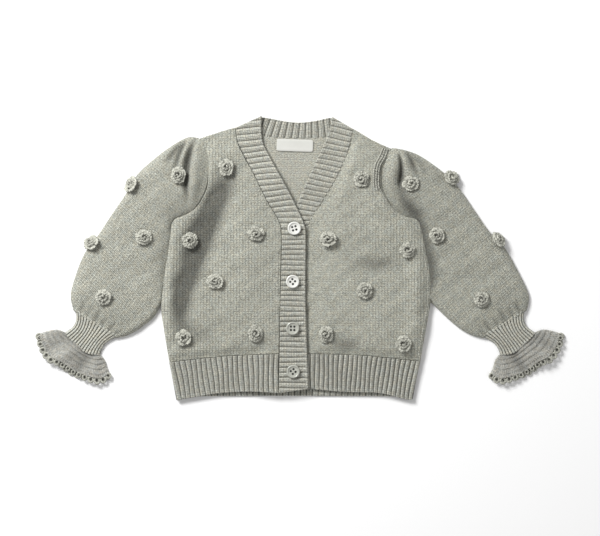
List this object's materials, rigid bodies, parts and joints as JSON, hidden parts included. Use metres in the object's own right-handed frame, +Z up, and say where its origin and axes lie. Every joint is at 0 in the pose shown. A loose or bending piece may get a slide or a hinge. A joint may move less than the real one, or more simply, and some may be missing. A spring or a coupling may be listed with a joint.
{
  "type": "baby cardigan",
  "caption": "Knitted baby cardigan with balloon sleeves, flared ruffle cuffs, ribbed bands and crochet rosettes, buttoned and laid flat.",
  "frame": {"origin": "centre of the garment's box on the surface that it lies on, under the back panel", "axes": "+X towards the wearer's left sleeve, +Y towards the neck, +Z up from the surface, out of the fronts"},
  "size_m": [0.5252, 0.284, 0.0151],
  "materials": {
    "knit": "matte brushed wool stocking stitch",
    "ribbing": "matte wool rib",
    "crochet": "matte crochet wool",
    "label": "woven satin",
    "shell_bright": "polished shell",
    "shell_grey": "satin shell"
  },
  "bodies": {
    "root": {"back": "knit", "front_right": "knit", "front_left": "knit", "sleeve_right": "knit", "sleeve_left": "knit", "hem_back": "ribbing", "hem_front_right": "ribbing", "hem_front_left": "ribbing", "band_back_neck": "ribbing", "band_right": "ribbing", "band_left": "ribbing", "cuff_right": "ribbing", "cuff_left": "ribbing", "ruffle_right": "crochet", "ruffle_left": "crochet", "rosette_01": "crochet", "rosette_02": "crochet", "rosette_03": "crochet", "rosette_04": "crochet", "rosette_05": "crochet", "rosette_06": "crochet", "rosette_07": "crochet", "rosette_08": "crochet", "rosette_09": "crochet", "rosette_10": "crochet", "rosette_11": "crochet", "rosette_12": "crochet", "rosette_13": "crochet", "rosette_14": "crochet", "rosette_15": "crochet", "rosette_16": "crochet", "rosette_17": "crochet", "rosette_18": "crochet", "rosette_19": "crochet", "rosette_20": "crochet", "rosette_21": "crochet", "rosette_22": "crochet", "label": "label", "button_1": "shell_bright", "button_2": "shell_bright", "button_3": "shell_grey", "button_4": "shell_grey"}
  },
  "joints": []
}
